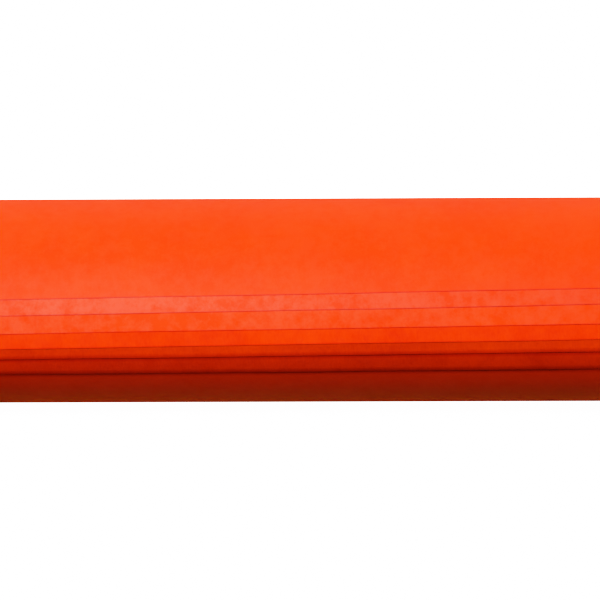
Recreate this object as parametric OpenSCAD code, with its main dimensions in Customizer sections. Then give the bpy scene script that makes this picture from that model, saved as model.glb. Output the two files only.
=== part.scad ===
// Hollow roll of six sheets of thin orange paper, wound together as one stack,
// with their outer free edges stepped one under the other, held by two elastic bands.
// The roll's axis lies along X. The origin is under its middle, on the surface it rests on.

/* [Paper] */
// Short side of each sheet, which is the length wound along the roll
sheet_w = 500; // [300:10:700]
// Thickness of one sheet
paper_t = 0.07; // [0.05:0.01:0.08]
// Radial room that one wound layer takes
layer = 0.101; // [0.095:0.001:0.12]

/* [Winding] */
// Outer radius of the roll at its uppermost free edge
roll_r = 22; // [20:0.5:28]
// Half turns in the wound stack
half_turns = 11; // [8:1:12]
// How far off square the stack was wound, in degrees, which telescopes the two ends
wind_skew = 0.8; // [0:0.1:1.2]
// Angle of one flat of the wound surface, in degrees
facet = 10; // [5, 10]

/* [Free edges] */
// Free edge of sheet 1, in degrees above the side of the roll
edge_1 = 29; // [24:0.5:34]
// Free edge of sheet 2
edge_2 = 20; // [14:0.5:24]
// Free edge of sheet 3
edge_3 = 9.5; // [4:0.5:14]
// Free edge of sheet 4
edge_4 = 0.5; // [-4:0.5:4]
// Free edge of sheet 5
edge_5 = -5.5; // [-12:0.5:-4]
// Free edge of sheet 6
edge_6 = -16.5; // [-22:0.5:-12]
// How far askew the free edges of sheets 1 to 4 run, in degrees
skew_upper = 0.9; // [0:0.05:1.1]
// How far askew the free edges of sheets 5 and 6 run, in degrees
skew_lower = 0.65; // [0:0.05:1.1]

/* [Elastic bands] */
// Width of a band
band_w = 6; // [3:0.5:10]
// Thickness of a band
band_t = 1; // [0.8:0.1:1.5]
// Distance of each band from the middle of the roll
band_x = 215; // [100:5:220]
// Room between a band and the paper under it
band_gap = 0.1; // [0.05:0.01:0.15]
// How far each band is pressed flat where it meets the table
band_flat = 0.4; // [0.3:0.05:0.5]

/* [Hidden] */
$fn = 120;
sheets = 6;
turn = sheets * layer;                  // radial growth in one whole turn
split = 60;                             // polar angle of the joint between half turns
first = 180 - edge_1;                   // polar angle of the uppermost free edge
inner_end = split - 180 * half_turns + 100;
// inner radius of a band against polar angle: it follows the outer turn, and bridges the stepped edges
hug = [[split - 210, radius(1, split - 210) + band_gap],
       [split + 100, radius(1, split + 100) + band_gap],
       [split + 130, roll_r + band_gap],
       [split + 150, radius(1, split - 210) + band_gap]];
axis_z = lookup(-90, hug) + band_t - band_flat;   // height of the roll's axis
axis_y = (lookup(180, hug) - lookup(0, hug)) / 2; // centres the bands over the origin
shift = PI * 0.92 * roll_r * tan(wind_skew); // sideways step of the stack in half a turn
edges = [edge_1, edge_2, edge_3, edge_4, edge_5, edge_6];
skews = [skew_upper, skew_upper, skew_upper, skew_upper, skew_lower, skew_lower];

// outer radius of sheet k at polar angle a: one spiral, with the sheets a layer apart
function radius(k, a) = roll_r - layer * (k - 1) + turn * (a - first) / 360;

function at(r, a) = [r * cos(a), r * sin(a)];

// the wound strip of sheet k between two polar angles, seen along the roll
module strip(k, a, b)
    polygon(concat(
        [for (i = [a : facet : b]) at(radius(k, i), i)],
        [for (i = [b : -facet : a]) at(radius(k, i) - paper_t, i)]
    ));

// lays a shape drawn across the roll along X
module along_x(length)
    rotate([90, 0, 90]) linear_extrude(length, center = true) children();

// what lies past the free edge of sheet k, without reaching the turn below it
module past_edge(k) {
    a = 180 - edges[k - 1];
    difference() {
        rotate([a, 0, 0]) rotate([0, skews[k - 1], 0])
            translate([-0.6 * sheet_w, 0.7 * roll_r, 0]) cube([1.2 * sheet_w, 0.5 * roll_r, 0.9 * roll_r]);
        rotate([0, 90, 0]) cylinder(r = radius(k, a) - turn / 2, h = 2 * sheet_w, center = true);
    }
}

// one sheet: half turns from the free edge inwards, each a little further along the roll
module wound_sheet(k) {
    last = ceil((180 - edges[k - 1] + 12) / 10) * 10;
    translate([0, axis_y, axis_z]) difference() {
        union() for (j = [0 : half_turns]) {
            a = max(split - 180 * j, inner_end);
            b = j == 0 ? last : split - 180 * (j - 1);
            if (b > a) translate([(half_turns / 2 - j) * shift, 0, 0])
                along_x(sheet_w) strip(k, a, b);
        }
        past_edge(k);
    }
}

// a closed loop round the roll, a given distance outside the band's inner face
module loop(d) polygon([for (i = [split - 210 : facet : split + 150 - facet]) at(lookup(i, hug) + d, i)]);

// an elastic band, pressed flat where it carries the roll
module band(side)
    translate([side * band_x, axis_y, axis_z]) difference() {
        along_x(band_w) difference() {
            loop(band_t);
            loop(0);
        }
        translate([-band_w, -roll_r, -axis_z - band_t]) cube([2 * band_w, 2 * roll_r, band_t]);
    }

module sheet_1() color([0.99, 0.33, 0.10]) wound_sheet(1);
module sheet_2() color([0.99, 0.36, 0.15]) wound_sheet(2);
module sheet_3() color([0.99, 0.37, 0.18]) wound_sheet(3);
module sheet_4() color([0.98, 0.30, 0.08]) wound_sheet(4);
module sheet_5() color([0.85, 0.19, 0.01]) wound_sheet(5);
module sheet_6() color([0.75, 0.14, 0.00]) wound_sheet(6);
module band_left() color([0.76, 0.58, 0.36]) band(-1);
module band_right() color([0.76, 0.58, 0.36]) band(1);

sheet_1();
sheet_2();
sheet_3();
sheet_4();
sheet_5();
sheet_6();
band_left();
band_right();
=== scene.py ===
import math

import bpy
import numpy as np
from mathutils import Matrix, Vector


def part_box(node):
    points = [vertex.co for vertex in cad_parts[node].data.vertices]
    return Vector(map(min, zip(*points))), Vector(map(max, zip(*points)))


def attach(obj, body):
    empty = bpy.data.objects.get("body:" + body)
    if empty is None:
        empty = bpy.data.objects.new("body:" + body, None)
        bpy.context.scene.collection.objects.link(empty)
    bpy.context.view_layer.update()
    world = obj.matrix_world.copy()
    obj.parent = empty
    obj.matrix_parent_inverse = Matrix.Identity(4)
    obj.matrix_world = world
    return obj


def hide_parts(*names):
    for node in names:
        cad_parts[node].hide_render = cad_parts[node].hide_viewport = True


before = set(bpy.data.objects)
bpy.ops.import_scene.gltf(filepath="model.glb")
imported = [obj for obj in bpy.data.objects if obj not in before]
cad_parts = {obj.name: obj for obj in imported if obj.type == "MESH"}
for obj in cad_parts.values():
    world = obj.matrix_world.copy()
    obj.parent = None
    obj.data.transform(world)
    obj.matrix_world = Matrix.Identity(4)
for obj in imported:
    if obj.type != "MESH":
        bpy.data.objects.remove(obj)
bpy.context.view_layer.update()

# ---------------------------------------------------------------- the winding
# Metres and radians. Angles u run along the winding from the uppermost free edge,
# positive outwards; polar angle 0 is +Y, 90 degrees is +Z and 180 degrees is -Y.
R0 = 0.022                       # outer radius at the uppermost free edge
LAYER = 0.000101                 # one wound layer
PAPER = 0.00007                  # one sheet
C = 6 * LAYER / (2 * math.pi)    # radial growth per radian
FIRST = math.radians(151.0)
EDGE = [math.radians(29.0 - e) for e in (28.85, 20.05, 9.45, 0.5, -7.1, -18.7)]
SKEW = [math.radians(g) for g in (0.90, 0.93, 0.81, 0.84, 0.70, 0.52)]
SIDE = [0.0, 0.0002, -0.0002, 0.00035, -0.0003, 0.0001]   # how far each sheet sits off its neighbours
LONG, WIDE = 0.700, 0.500
# the roll's axis, from the top of a band, which lies one band above the outer turn
AXIS_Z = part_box("band_left")[1][2] - (R0 + C * (math.pi / 2 - FIRST) + 0.0011)
AXIS_Y = 0.00013
BAND_X = 0.215

# how far each free end stands off what lies under it, and over what length it leaves it
LIFT = [0.00014, 0.00013, 0.00011, 0.00005, 0.00013, 0.00018]
REACH = [0.0042, 0.0034, 0.0028, 0.0018, 0.0080, 0.0065]
# the last of each free end turns down a little
DROOP = [0.00002, 0.00002, 0.00002, 0.00003, 0.00008, 0.00011]
DROOP_OVER = [0.0008, 0.0008, 0.0008, 0.0009, 0.0013, 0.0014]
# the stacked free ends stay flatter than the roll, so a low ridge runs along the fourth edge
RIDGE, RIDGE_UP, RIDGE_DOWN = 0.00016, 0.0070, 0.0022


def smooth(t):
    t = np.clip(t, 0.0, 1.0)
    return t * t * (3 - 2 * t)


def wave(x, seed, scale):
    """A smooth wandering line between -1 and 1, the same each run."""
    rng = np.random.default_rng(seed)
    out = np.zeros_like(np.asarray(x, float))
    total = 0.0
    for i in range(5):
        f = (1.7 ** i) / scale
        a = 0.62 ** i
        out = out + a * np.sin(2 * math.pi * f * x + rng.uniform(0, 2 * math.pi))
        total += a
    return out / total * 1.4


def edge_u(j, x):
    """Winding angle of sheet j's free edge at a place along the roll."""
    b = R0 - LAYER * j
    s = b * EDGE[j] + C * EDGE[j] ** 2 / 2 - (x - LONG / 2 * math.sin(SKEW[j])) * math.tan(SKEW[j])
    return (-b + np.sqrt(b * b + 2 * C * s)) / C


def stand_off(k, u, x):
    """How far sheet k stands off the round spiral: free ends lift, and take the sheets on top with them."""
    above = (edge_u(3, x) - u) * R0
    slope = np.clip(1 - np.where(above > 0, above / RIDGE_UP, -above / RIDGE_DOWN), 0, 1)
    out = RIDGE * slope ** 2
    end = smooth((np.abs(x) - 0.222) / 0.032)
    loose = 0.8 + 0.2 * smooth((np.abs(np.abs(x) - BAND_X) - 0.004) / 0.018)   # the bands hold the ends down a little
    for j in range(k, 6):
        d = (edge_u(j, x) - u) * R0
        reach = REACH[j] * (1 + 0.12 * wave(x, 40 + j, 0.055)) + 0.009 * end
        high = LIFT[j] * (1 + 0.22 * wave(x, 70 + j, 0.043)) + 0.00034 * end * (1 + 0.4 * wave(x, 90 + j, 0.03))
        t = np.clip(1 - d / reach, 0, 1.05)
        out = out + high * t * t
        if j == k:
            out = out - DROOP[j] * np.clip(1 - d / DROOP_OVER[j], 0, 1.05) ** 2
    return out * loose


def wind(k, d, w):
    """Flat place on sheet k (d in from its free edge, w along it) to (angle u, place x along the roll)."""
    g = SKEW[k]
    b = R0 - LAYER * k
    s = b * EDGE[k] + C * EDGE[k] ** 2 / 2 - d * math.cos(g) - w * math.sin(g)
    u = (-b + np.sqrt(b * b + 2 * C * s)) / C
    x = w * math.cos(g) + (LONG / 2 - d) * math.sin(g) + SIDE[k]
    return u, x


def place(r, u, x):
    a = FIRST + u
    return np.stack([x, AXIS_Y + r * np.cos(a), AXIS_Z + r * np.sin(a)], axis=-1)


def mesh_object(name, verts, faces, smooth_faces=True):
    me = bpy.data.meshes.new(name)
    me.from_pydata(verts, [], faces)
    me.update()
    if smooth_faces:
        me.polygons.foreach_set("use_smooth", np.ones(len(me.polygons), bool))
    ob = bpy.data.objects.new(name, me)
    bpy.context.scene.collection.objects.link(ob)
    return ob


def grade(total, parts):
    """Places from 0 to total: parts is (up to, step) with fine steps first."""
    out, at = [0.0], 0.0
    for upto, step in parts:
        n = max(1, int(round((min(upto, total) - at) / step)))
        out += list(at + (min(upto, total) - at) * (np.arange(1, n + 1) / n))
        at = min(upto, total)
    return np.array(out)


# ---------------------------------------------------------------- the sheets
def make_sheet(k):
    d = grade(LONG, [(0.0012, 0.0002), (0.007, 0.00045), (0.030, 0.0009), (0.165, 0.0011), (LONG, 0.0018)])
    half = grade(WIDE / 2, [(0.0010, 0.0005), (0.012, 0.0022), (0.040, 0.0047), (WIDE / 2, 0.0084)])
    w = np.concatenate([-WIDE / 2 + half, (WIDE / 2 - half)[::-1][1:]])
    D, W = np.meshgrid(d, w, indexing="ij")
    # cut edges of paper are not dead straight
    trim = 0.00005 * wave(W, 5 + k, 0.09) * (1 - smooth(D / 0.004))
    Dm = D + trim
    Wm = W + 0.00006 * wave(D, 15 + k, 0.08) * smooth((np.abs(W) - 0.246) / 0.004) * np.sign(W)
    u, x = wind(k, Dm, Wm)
    r = R0 - LAYER * k + C * u + stand_off(k, u, x)
    outer = place(r, u, x)
    inner = place(r - PAPER, u, x)
    nd, nw = D.shape
    verts = np.concatenate([outer.reshape(-1, 3), inner.reshape(-1, 3)])
    i = np.arange(nd - 1)[:, None] * nw + np.arange(nw - 1)[None, :]
    n = nd * nw
    # d runs inwards along the winding and w along +X
    top = np.stack([i, i + nw, i + nw + 1, i + 1], axis=-1).reshape(-1, 4)
    low = np.stack([i, i + 1, i + nw + 1, i + nw], axis=-1).reshape(-1, 4) + n
    faces = [top, low]
    a = np.arange(nw - 1)
    faces.append(np.stack([a, a + 1, a + 1 + n, a + n], axis=-1))                         # free edge
    b = a + (nd - 1) * nw
    faces.append(np.stack([b + 1, b, b + n, b + 1 + n], axis=-1))                         # inner end
    c = np.arange(nd - 1) * nw
    faces.append(np.stack([c + nw, c, c + n, c + nw + n], axis=-1))                       # left side
    e = c + nw - 1
    faces.append(np.stack([e, e + nw, e + nw + n, e + n], axis=-1))                       # right side
    counts = [len(f) for f in faces]
    faces = np.concatenate(faces)
    ob = mesh_object(f"paper_sheet_{k + 1}", verts.tolist(), faces.tolist())
    me = ob.data
    flat = np.stack([W, D, np.full_like(D, 0.37 * (k + 1))], axis=-1).reshape(-1, 3)
    back = flat + np.array([0.0, 0.0, 5.0])
    at = me.attributes.new("flat", "FLOAT_VECTOR", "POINT")
    at.data.foreach_set("vector", np.concatenate([flat, back]).astype(np.float32).ravel())
    # how far each place lies in under the free edge that rests on it, which places the painted shadow beside that edge
    over = edge_u(k - 1, x) if k else edge_u(5, x) - 2 * math.pi
    under = ((over - u) * R0).reshape(-1)
    at = me.attributes.new("under", "FLOAT", "POINT")
    at.data.foreach_set("value", np.concatenate([under, under]).astype(np.float32))
    # crisp cut edges
    flat_from = counts[0] + counts[1]
    sm = np.ones(len(me.polygons), bool)
    sm[flat_from:] = False
    me.polygons.foreach_set("use_smooth", sm)
    sharp = np.zeros(len(me.edges), bool)
    ev = np.zeros(len(me.edges) * 2, np.int32)
    me.edges.foreach_get("vertices", ev)
    ev = ev.reshape(-1, 2)
    di, wi = (ev % n) // nw, (ev % n) % nw
    same_side = (ev[:, 0] < n) == (ev[:, 1] < n)
    on_rim = ((di == 0).all(1) | (di == nd - 1).all(1) | (wi == 0).all(1) | (wi == nw - 1).all(1)) & same_side
    sharp |= on_rim
    at = me.attributes.new("sharp_edge", "BOOLEAN", "EDGE")
    at.data.foreach_set("value", sharp)
    return ob


sheets = [make_sheet(k) for k in range(6)]

# ---------------------------------------------------------------- the elastic bands
HUG_U = np.radians(np.array([-150.0, 138.0, 150.0, 176.0, 188.0, 199.0, 210.0]))


def hug(a):
    """Inner radius of a band against polar angle: it follows the outer turn, and bridges the stepped edges."""
    r1 = lambda q: R0 + C * (q - FIRST) + 0.00006
    over = [R0 + rise for rise in (0.00018, 0.00022, 0.00024, 0.00008)]
    return np.interp(a, HUG_U, [r1(HUG_U[0]), r1(HUG_U[1]), *over, r1(HUG_U[0])])


def make_band(name, side, seed):
    n_a, n_c = 220, 28
    a = HUG_U[0] + 2 * math.pi * np.arange(n_a) / n_a
    base = hug(a)
    # rubber bridges corners smoothly
    for _ in range(10):
        base = np.maximum(base, (np.roll(base, 1) + base + np.roll(base, -1)) / 3)
    wide = 0.0060 * (1 + 0.035 * wave(a / (2 * math.pi) * 0.14, seed, 0.047))
    thick = 0.00092 * (1 + 0.05 * wave(a / (2 * math.pi) * 0.14, seed + 1, 0.06))
    mid = 0.0009 * np.sin(a + seed) + 0.00022 * wave(a / (2 * math.pi) * 0.14, seed + 2, 0.05)
    # a rounded rectangle, a little crowned on its outer face
    t = 2 * math.pi * np.arange(n_c) / n_c
    p = 5.0
    cx = np.sign(np.cos(t)) * np.abs(np.cos(t)) ** (2 / p)
    cy = np.sign(np.sin(t)) * np.abs(np.sin(t)) ** (2 / p)
    X = side * BAND_X + mid[:, None] + cx[None, :] * wide[:, None] / 2
    crown = 0.00010 * (1 - cx[None, :] ** 2) * (cy[None, :] > 0)
    R = base[:, None] + thick[:, None] * (cy[None, :] + 1) / 2 + crown
    Y = AXIS_Y + R * np.cos(a)[:, None]
    Z = AXIS_Z + R * np.sin(a)[:, None]
    # pressed flat on the table
    low = 0.00002
    Z = np.where(Z < low + 0.00025, low + 0.00025 * np.exp((Z - low - 0.00025) / 0.00025), Z)
    verts = np.stack([X, Y, Z], axis=-1).reshape(-1, 3)
    i = np.arange(n_a)[:, None]
    j = np.arange(n_c)[None, :]
    i2, j2 = (i + 1) % n_a, (j + 1) % n_c
    faces = np.stack(np.broadcast_arrays(i * n_c + j, i * n_c + j2, i2 * n_c + j2, i2 * n_c + j), axis=-1).reshape(-1, 4)
    ob = mesh_object(name, verts.tolist(), faces.tolist())
    at = ob.data.attributes.new("flat", "FLOAT_VECTOR", "POINT")
    flat = np.stack(np.broadcast_arrays(a[:, None] * R0, cx[None, :] * 0.003, cy[None, :] * 0.0005 + seed), axis=-1)
    at.data.foreach_set("vector", flat.reshape(-1, 3).astype(np.float32).ravel())
    return ob


bands = [make_band("elastic_band_left", -1, 3), make_band("elastic_band_right", 1, 8)]


# ---------------------------------------------------------------- materials
def node_material(name):
    mat = bpy.data.materials.new(name)
    mat.use_nodes = True
    nt = mat.node_tree
    nt.nodes.clear()
    out = nt.nodes.new("ShaderNodeOutputMaterial")
    bsdf = nt.nodes.new("ShaderNodeBsdfPrincipled")
    nt.links.new(bsdf.outputs[0], out.inputs[0])
    return mat, nt, bsdf


def flat_coords(nt, scale, offset=(0, 0, 0)):
    at = nt.nodes.new("ShaderNodeAttribute")
    at.attribute_name = "flat"
    mp = nt.nodes.new("ShaderNodeMapping")
    mp.inputs["Scale"].default_value = scale
    mp.inputs["Location"].default_value = offset
    nt.links.new(at.outputs["Vector"], mp.inputs["Vector"])
    return mp.outputs[0]


def noise(nt, vec, scale, detail=2.0, rough=0.5, distortion=0.0):
    n = nt.nodes.new("ShaderNodeTexNoise")
    n.inputs["Scale"].default_value = scale
    n.inputs["Detail"].default_value = detail
    n.inputs["Roughness"].default_value = rough
    n.inputs["Distortion"].default_value = distortion
    nt.links.new(vec, n.inputs["Vector"])
    return n.outputs["Fac"]


def ramp(nt, value, lo, hi, out_lo, out_hi):
    m = nt.nodes.new("ShaderNodeMapRange")
    m.inputs["From Min"].default_value = lo
    m.inputs["From Max"].default_value = hi
    m.inputs["To Min"].default_value = out_lo
    m.inputs["To Max"].default_value = out_hi
    nt.links.new(value, m.inputs["Value"])
    return m.outputs[0]


def maths(nt, op, a, b):
    m = nt.nodes.new("ShaderNodeMath")
    m.operation = op
    for s, v in zip(m.inputs, (a, b)):
        if isinstance(v, (int, float)):
            s.default_value = v
        else:
            nt.links.new(v, s)
    return m.outputs[0]


def scaled_colour(nt, colour, value):
    m = nt.nodes.new("ShaderNodeVectorMath")
    m.operation = "SCALE"
    m.inputs[0].default_value = colour
    nt.links.new(value, m.inputs["Scale"])
    return m.outputs[0]


def paper_material(name, colour, gloss, shine, cloudy, edge_shade_depth, edge_shade_width, edge_shadow):
    """Dyed craft paper: cloudy formation, fine fibres and a patchy low sheen, with painted shade on the covered turns
    and along the cut edge, and a painted shadow beside the edge above.
    """
    mat, nt, bsdf = node_material(name)
    vec = flat_coords(nt, (1, 1, 1))
    cloud = noise(nt, vec, 210, 4, 0.6)
    broad = noise(nt, vec, 42, 2, 0.5)
    fibre_vec = flat_coords(nt, (1, 0.28, 1))
    fibre = noise(nt, fibre_vec, 2600, 3, 0.6, 0.6)
    c = maths(nt, "ADD", ramp(nt, cloud, 0.3, 0.7, -0.06, 0.06), ramp(nt, broad, 0.3, 0.7, -0.055, 0.055))
    c = maths(nt, "ADD", c, ramp(nt, fibre, 0.3, 0.7, -0.04, 0.04))
    mix = nt.nodes.new("ShaderNodeMix")
    mix.data_type = "RGBA"
    mix.inputs["A"].default_value = (colour[0] * (1 - 0.5 * cloudy), colour[1] * (1 - cloudy), colour[2] * 0.6, 1)
    mix.inputs["B"].default_value = (min(1, colour[0] * (1 + 0.4 * cloudy)), colour[1] * (1 + 0.6 * cloudy), colour[2], 1)
    nt.links.new(ramp(nt, c, -0.12, 0.12, 0.0, 1.0), mix.inputs["Factor"])
    # painted shade: the covered turns, which show on the roll's underside below the last free edge, are darkened to
    # stand in for the shade there, and keep little sheen
    parts = nt.nodes.new("ShaderNodeSeparateXYZ")
    nt.links.new(vec, parts.inputs[0])
    shaded_turns = maths(nt, "MULTIPLY", ramp(nt, parts.outputs[1], 0.092, 0.118, 0.0, 1.0), ramp(nt, parts.outputs[1], 0.48, 0.56, 1.0, 0.0))
    turn_shade = nt.nodes.new("ShaderNodeVectorMath")
    turn_shade.operation = "SCALE"
    nt.links.new(mix.outputs["Result"], turn_shade.inputs[0])
    nt.links.new(ramp(nt, shaded_turns, 0, 1, 1.0, 0.44), turn_shade.inputs["Scale"])
    # painted shade: the paper darkens towards its cut edge, standing in for the shade at the lifted, turned-down free
    # edge
    edge_shade = nt.nodes.new("ShaderNodeMix")
    edge_shade.data_type = "RGBA"
    edge_shade.blend_type = "MULTIPLY"
    edge_shade.inputs["B"].default_value = (1 - 0.5 * edge_shade_depth, 1 - edge_shade_depth, 1 - edge_shade_depth, 1)
    nt.links.new(turn_shade.outputs[0], edge_shade.inputs["A"])
    nt.links.new(ramp(nt, parts.outputs[1], 0.2 * edge_shade_width, edge_shade_width, 1.0, 0.0), edge_shade.inputs["Factor"])
    # painted shadow: the paper just beside a lifted free edge is darkened and reddened, standing in for the shadow
    # that edge casts, as if lit only through the dyed sheet above
    beside = nt.nodes.new("ShaderNodeAttribute")
    beside.attribute_name = "under"
    shadow_tint, reach = edge_shadow
    near = maths(nt, "MULTIPLY", ramp(nt, beside.outputs["Fac"], -reach, -0.35 * reach, 0.0, 1.0),
                 ramp(nt, beside.outputs["Fac"], 0.001, 0.003, 1.0, 0.0))
    edge_shadowed = nt.nodes.new("ShaderNodeMix")
    edge_shadowed.data_type = "RGBA"
    edge_shadowed.blend_type = "MULTIPLY"
    edge_shadowed.inputs["B"].default_value = (*shadow_tint, 1)
    nt.links.new(edge_shade.outputs["Result"], edge_shadowed.inputs["A"])
    nt.links.new(near, edge_shadowed.inputs["Factor"])
    nt.links.new(edge_shadowed.outputs["Result"], bsdf.inputs["Base Color"])
    patch = noise(nt, vec, 400, 3, 0.65)
    patch = maths(nt, "ADD", maths(nt, "MULTIPLY", patch, 0.6), maths(nt, "MULTIPLY", noise(nt, vec, 85, 2, 0.5), 0.4))
    nt.links.new(ramp(nt, patch, 0.35, 0.65, gloss[0], gloss[1]), bsdf.inputs["Roughness"])
    level = ramp(nt, patch, 0.40, 0.60, shine[0], shine[1])
    level = maths(nt, "MULTIPLY", level, ramp(nt, shaded_turns, 0, 1, 1.0, 0.12))
    nt.links.new(level, bsdf.inputs["Specular IOR Level"])
    bsdf.inputs["IOR"].default_value = 1.45
    bump = nt.nodes.new("ShaderNodeBump")
    bump.inputs["Strength"].default_value = 0.35
    bump.inputs["Distance"].default_value = 0.00002
    h = maths(nt, "ADD", maths(nt, "MULTIPLY", patch, 1.0), maths(nt, "MULTIPLY", fibre, 0.35))
    nt.links.new(h, bump.inputs["Height"])
    nt.links.new(bump.outputs[0], bsdf.inputs["Normal"])
    return mat


def rubber_material():
    mat, nt, bsdf = node_material("elastic_band")
    vec = flat_coords(nt, (1, 1, 1))
    cloud = noise(nt, vec, 160, 3, 0.6)
    dust = noise(nt, vec, 1500, 3, 0.7)
    c = maths(nt, "ADD", ramp(nt, cloud, 0.3, 0.7, -0.5, 0.5), ramp(nt, dust, 0.35, 0.75, -0.2, 0.5))
    mix = nt.nodes.new("ShaderNodeMix")
    mix.data_type = "RGBA"
    mix.inputs["A"].default_value = (0.40, 0.235, 0.10, 1)
    mix.inputs["B"].default_value = (0.56, 0.37, 0.18, 1)
    nt.links.new(ramp(nt, c, -0.7, 0.9, 0.0, 1.0), mix.inputs["Factor"])
    nt.links.new(mix.outputs["Result"], bsdf.inputs["Base Color"])
    nt.links.new(ramp(nt, dust, 0.3, 0.7, 0.42, 0.62), bsdf.inputs["Roughness"])
    bsdf.inputs["IOR"].default_value = 1.5
    bump = nt.nodes.new("ShaderNodeBump")
    bump.inputs["Strength"].default_value = 0.4
    bump.inputs["Distance"].default_value = 0.00003
    nt.links.new(dust, bump.inputs["Height"])
    nt.links.new(bump.outputs[0], bsdf.inputs["Normal"])
    return mat


# each sheet's colour, roughness range, shine, cloudiness, depth and width of the painted shade along its cut edge,
# and the tint of the painted shadow beside the edge above it with how far that reaches
PAPER_LOOK = [
    ((0.970, 0.0515, 0.0016), (0.58, 0.68), (0.38, 0.74), 0.12, 0.34, 0.00026, ((0.80, 0.50, 0.7), 0.0014)),
    ((0.890, 0.0480, 0.0016), (0.52, 0.66), (0.28, 1.06), 0.12, 0.34, 0.00026, ((1.0, 1.0, 1.0), 0.0005)),
    ((0.970, 0.0560, 0.0016), (0.56, 0.66), (0.15, 0.75), 0.14, 0.28, 0.00026, ((1.0, 1.0, 1.0), 0.0005)),
    ((0.860, 0.0520, 0.0012), (0.62, 0.70), (0.02, 0.12), 0.34, 0.28, 0.00035, ((1.0, 1.0, 1.0), 0.0005)),
    # sheets 5 and 6 are coloured darker as painted shade, standing in for the shade low on the roll where it turns
    # under
    ((0.620, 0.0420, 0.0006), (0.62, 0.70), (0.02, 0.08), 0.34, 0.50, 0.00110, ((1.0, 1.0, 1.0), 0.0005)),
    ((0.450, 0.0240, 0.0004), (0.62, 0.70), (0.02, 0.08), 0.34, 0.50, 0.00125, ((0.80, 0.48, 0.7), 0.0011)),
]
body_of_sheet = ["outer_sheet", "second_sheet", "third_sheet", "fourth_sheet", "fifth_sheet", "inner_sheet"]
for k, ob in enumerate(sheets):
    mat = paper_material(f"orange_paper_{k + 1}", *PAPER_LOOK[k])
    ob.data.materials.append(mat)
    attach(ob, body_of_sheet[k])
    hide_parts(f"sheet_{k + 1}")
rubber = rubber_material()
for ob, body, node in zip(bands, ("left_band", "right_band"), ("band_left", "band_right")):
    ob.data.materials.append(rubber)
    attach(ob, body)
    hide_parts(node)

# ---------------------------------------------------------------- the stage
def make_floor():
    me = bpy.data.meshes.new("floor")
    s = 6.0
    me.from_pydata([(-s, -s, 0), (s, -s, 0), (s, s, 0), (-s, s, 0)], [], [(0, 1, 2, 3)])
    ob = bpy.data.objects.new("floor", me)
    bpy.context.scene.collection.objects.link(ob)
    mat = bpy.data.materials.new("floor")
    mat.use_nodes = True
    nt = mat.node_tree
    nt.nodes.clear()
    out = nt.nodes.new("ShaderNodeOutputMaterial")
    lit = nt.nodes.new("ShaderNodeBsdfDiffuse")
    lit.inputs[0].default_value = (0.8, 0.8, 0.8, 1)
    glow = nt.nodes.new("ShaderNodeEmission")
    glow.inputs[0].default_value = (1, 1, 1, 1)
    glow.inputs[1].default_value = 1.2
    both = nt.nodes.new("ShaderNodeAddShader")
    nt.links.new(lit.outputs[0], both.inputs[0])
    nt.links.new(glow.outputs[0], both.inputs[1])
    dim = nt.nodes.new("ShaderNodeBsdfDiffuse")
    dim.inputs[0].default_value = (0.14, 0.136, 0.12, 1)
    # painted reflection: in the paper's sheen the floor shows warm beside the roll and glows white far behind it,
    # though it is no lamp; light bounced off it onto the roll sees it dim
    warm = nt.nodes.new("ShaderNodeBsdfDiffuse")
    warm.inputs[0].default_value = (0.75, 0.70, 0.0, 1)
    far = nt.nodes.new("ShaderNodeEmission")
    far.inputs[0].default_value = (1, 0.95, 0.45, 1)
    far.inputs[1].default_value = 0.27
    where = nt.nodes.new("ShaderNodeTexCoord")
    floor_at = nt.nodes.new("ShaderNodeSeparateXYZ")
    nt.links.new(where.outputs["Object"], floor_at.inputs[0])
    near_far = nt.nodes.new("ShaderNodeMixShader")
    nt.links.new(ramp(nt, floor_at.outputs[1], 0.10, 0.40, 0.0, 1.0), near_far.inputs[0])
    nt.links.new(warm.outputs[0], near_far.inputs[1])
    nt.links.new(far.outputs[0], near_far.inputs[2])
    path = nt.nodes.new("ShaderNodeLightPath")
    sheen = nt.nodes.new("ShaderNodeMixShader")
    nt.links.new(path.outputs["Is Glossy Ray"], sheen.inputs[0])
    nt.links.new(dim.outputs[0], sheen.inputs[1])
    nt.links.new(near_far.outputs[0], sheen.inputs[2])
    mix = nt.nodes.new("ShaderNodeMixShader")
    nt.links.new(path.outputs["Is Camera Ray"], mix.inputs[0])
    nt.links.new(sheen.outputs[0], mix.inputs[1])
    nt.links.new(both.outputs[0], mix.inputs[2])
    nt.links.new(mix.outputs[0], out.inputs[0])
    mat.cycles.emission_sampling = "NONE"
    me.materials.append(mat)
    return ob


make_floor()

world = bpy.data.worlds.new("studio")
bpy.context.scene.world = world
world.use_nodes = True
world.cycles.sampling_method = "NONE"
nt = world.node_tree
nt.nodes.clear()
w_out = nt.nodes.new("ShaderNodeOutputWorld")
w_path = nt.nodes.new("ShaderNodeLightPath")


def backdrop(strength, colour=(1, 1, 1)):
    b = nt.nodes.new("ShaderNodeBackground")
    b.inputs[0].default_value = (*colour, 1)
    if isinstance(strength, (int, float)):
        b.inputs[1].default_value = strength
    else:
        nt.links.new(strength, b.inputs[1])
    return b


def when(flag, yes, no):
    m = nt.nodes.new("ShaderNodeMixShader")
    nt.links.new(w_path.outputs[flag], m.inputs[0])
    nt.links.new(no.outputs[0], m.inputs[1])
    nt.links.new(yes.outputs[0], m.inputs[2])
    return m


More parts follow.
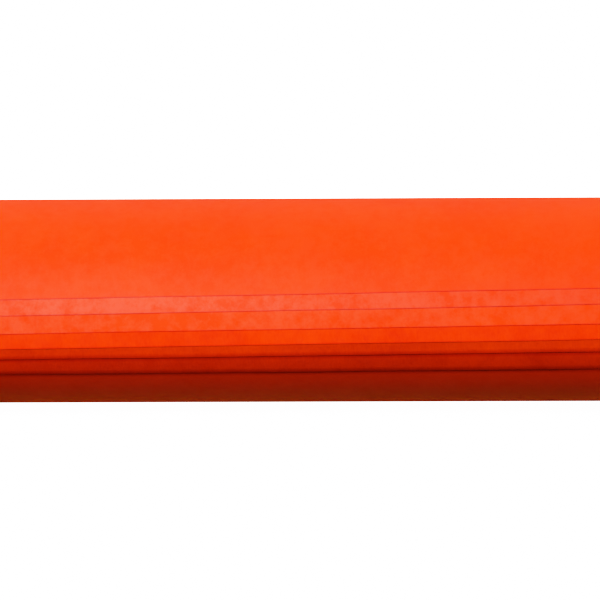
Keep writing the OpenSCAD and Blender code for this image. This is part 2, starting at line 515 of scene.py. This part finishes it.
# the pale wall behind the roll shows in its sheen, brighter to the left
w_co = nt.nodes.new("ShaderNodeTexCoord")
w_xyz = nt.nodes.new("ShaderNodeSeparateXYZ")
nt.links.new(w_co.outputs["Generated"], w_xyz.inputs[0])
behind = ramp(nt, w_xyz.outputs[1], 0.3, 0.9, 0.0, 1.0)
low_down = ramp(nt, w_xyz.outputs[2], 0.05, 0.45, 1.0, 0.0)
leftward = ramp(nt, w_xyz.outputs[0], -0.5, 0.5, 1.5, 0.5)
sheen = maths(nt, "MULTIPLY", maths(nt, "MULTIPLY", behind, low_down), leftward)
sheen = maths(nt, "ADD", maths(nt, "MULTIPLY", sheen, 0.26), 0.010)
w_all = when("Is Camera Ray", backdrop(2.0), when("Is Glossy Ray", backdrop(sheen, (1, 0.95, 0.55)), backdrop(0.08)))
nt.links.new(w_all.outputs[0], w_out.inputs[0])

ELEV = math.radians(25.0)
AIM = Vector((0.0, AXIS_Y, AXIS_Z))
RISE = 0.00017                   # how far the view's middle is above the axis


def area(name, above, azimuth, distance, size_x, size_y, power, along=0.0, diffuse=True, glossy=True):
    """A soft box seen from the roll at an angle above the camera's line, turned sideways by azimuth."""
    e = ELEV + math.radians(above)
    az = math.radians(azimuth)
    direction = Vector((math.sin(az) * math.cos(e), -math.cos(az) * math.cos(e), math.sin(e)))
    data = bpy.data.lights.new(name, "AREA")
    data.shape = "RECTANGLE"
    data.size, data.size_y = size_x, size_y
    data.energy = power
    ob = bpy.data.objects.new(name, data)
    bpy.context.scene.collection.objects.link(ob)
    ob.location = AIM + direction * distance + Vector((along, 0, 0))
    ob.rotation_euler = direction.to_track_quat("Z", "Y").to_euler()
    ob.visible_camera = False
    ob.visible_diffuse = diffuse
    ob.visible_glossy = glossy
    return ob


area("key", 26, -6, 1.3, 1.6, 0.45, 21.0, glossy=False)
area("back", 105, 10, 1.3, 1.2, 0.5, 6.5, glossy=False)
area("low_back", 140, 10, 1.3, 1.2, 0.5, 2.0, along=-0.25, glossy=False)
area("low_fill", -26, 0, 0.10, 0.04, 0.015, 0.005, along=-0.045, glossy=False)
area("end_left", -22, -90, 1.2, 0.3, 0.12, 6, glossy=False)
area("end_right", -22, 90, 1.2, 0.3, 0.12, 6, glossy=False)
area("sheen_left", 2, 0, 0.25, 0.04, 0.03, 0.25, along=-0.062, diffuse=False)
area("sheen_right", -14, 0, 0.30, 0.06, 0.03, 0.010, along=0.02, diffuse=False)

# ---------------------------------------------------------------- the camera
cam_data = bpy.data.cameras.new("camera")
cam = bpy.data.objects.new("camera", cam_data)
bpy.context.scene.collection.objects.link(cam)
DIST = 1.6
YAW = math.radians(3.0)
direction = Vector((math.sin(YAW) * math.cos(ELEV), -math.cos(YAW) * math.cos(ELEV), math.sin(ELEV)))
cam.location = AIM + direction * DIST
look = direction.to_track_quat("Z", "Y").to_matrix().to_4x4()
roll = Matrix.Rotation(-math.radians(0.2) - math.atan(math.sin(ELEV) * math.tan(YAW)), 4, "Z")
cam.matrix_world = Matrix.Translation(cam.location) @ look @ roll @ Matrix.Translation((0, RISE, 0))
cam_data.sensor_width = 36
cam_data.lens = 36 * DIST / 0.1280
cam_data.clip_end = 50
bpy.context.scene.camera = cam

# the picture's response to light: bright colours roll off gently and dark ones are rich
K, POWER, WHITE = 3.4, 1.4, 4.0
view = bpy.context.scene.view_settings
view.view_transform = "Standard"
view.look = "None"
view.gamma = 1 / POWER
view.use_curve_mapping = True
view.curve_mapping.white_level = (WHITE, WHITE, WHITE)
view.curve_mapping.extend = "HORIZONTAL"
curve = view.curve_mapping.curves[3]
for i in range(1, 40):
    x = (i / 40) ** 2
    curve.points.new(x, (1 - math.exp(-K * (x * WHITE) ** POWER)) ** (1 / POWER))
view.curve_mapping.update()
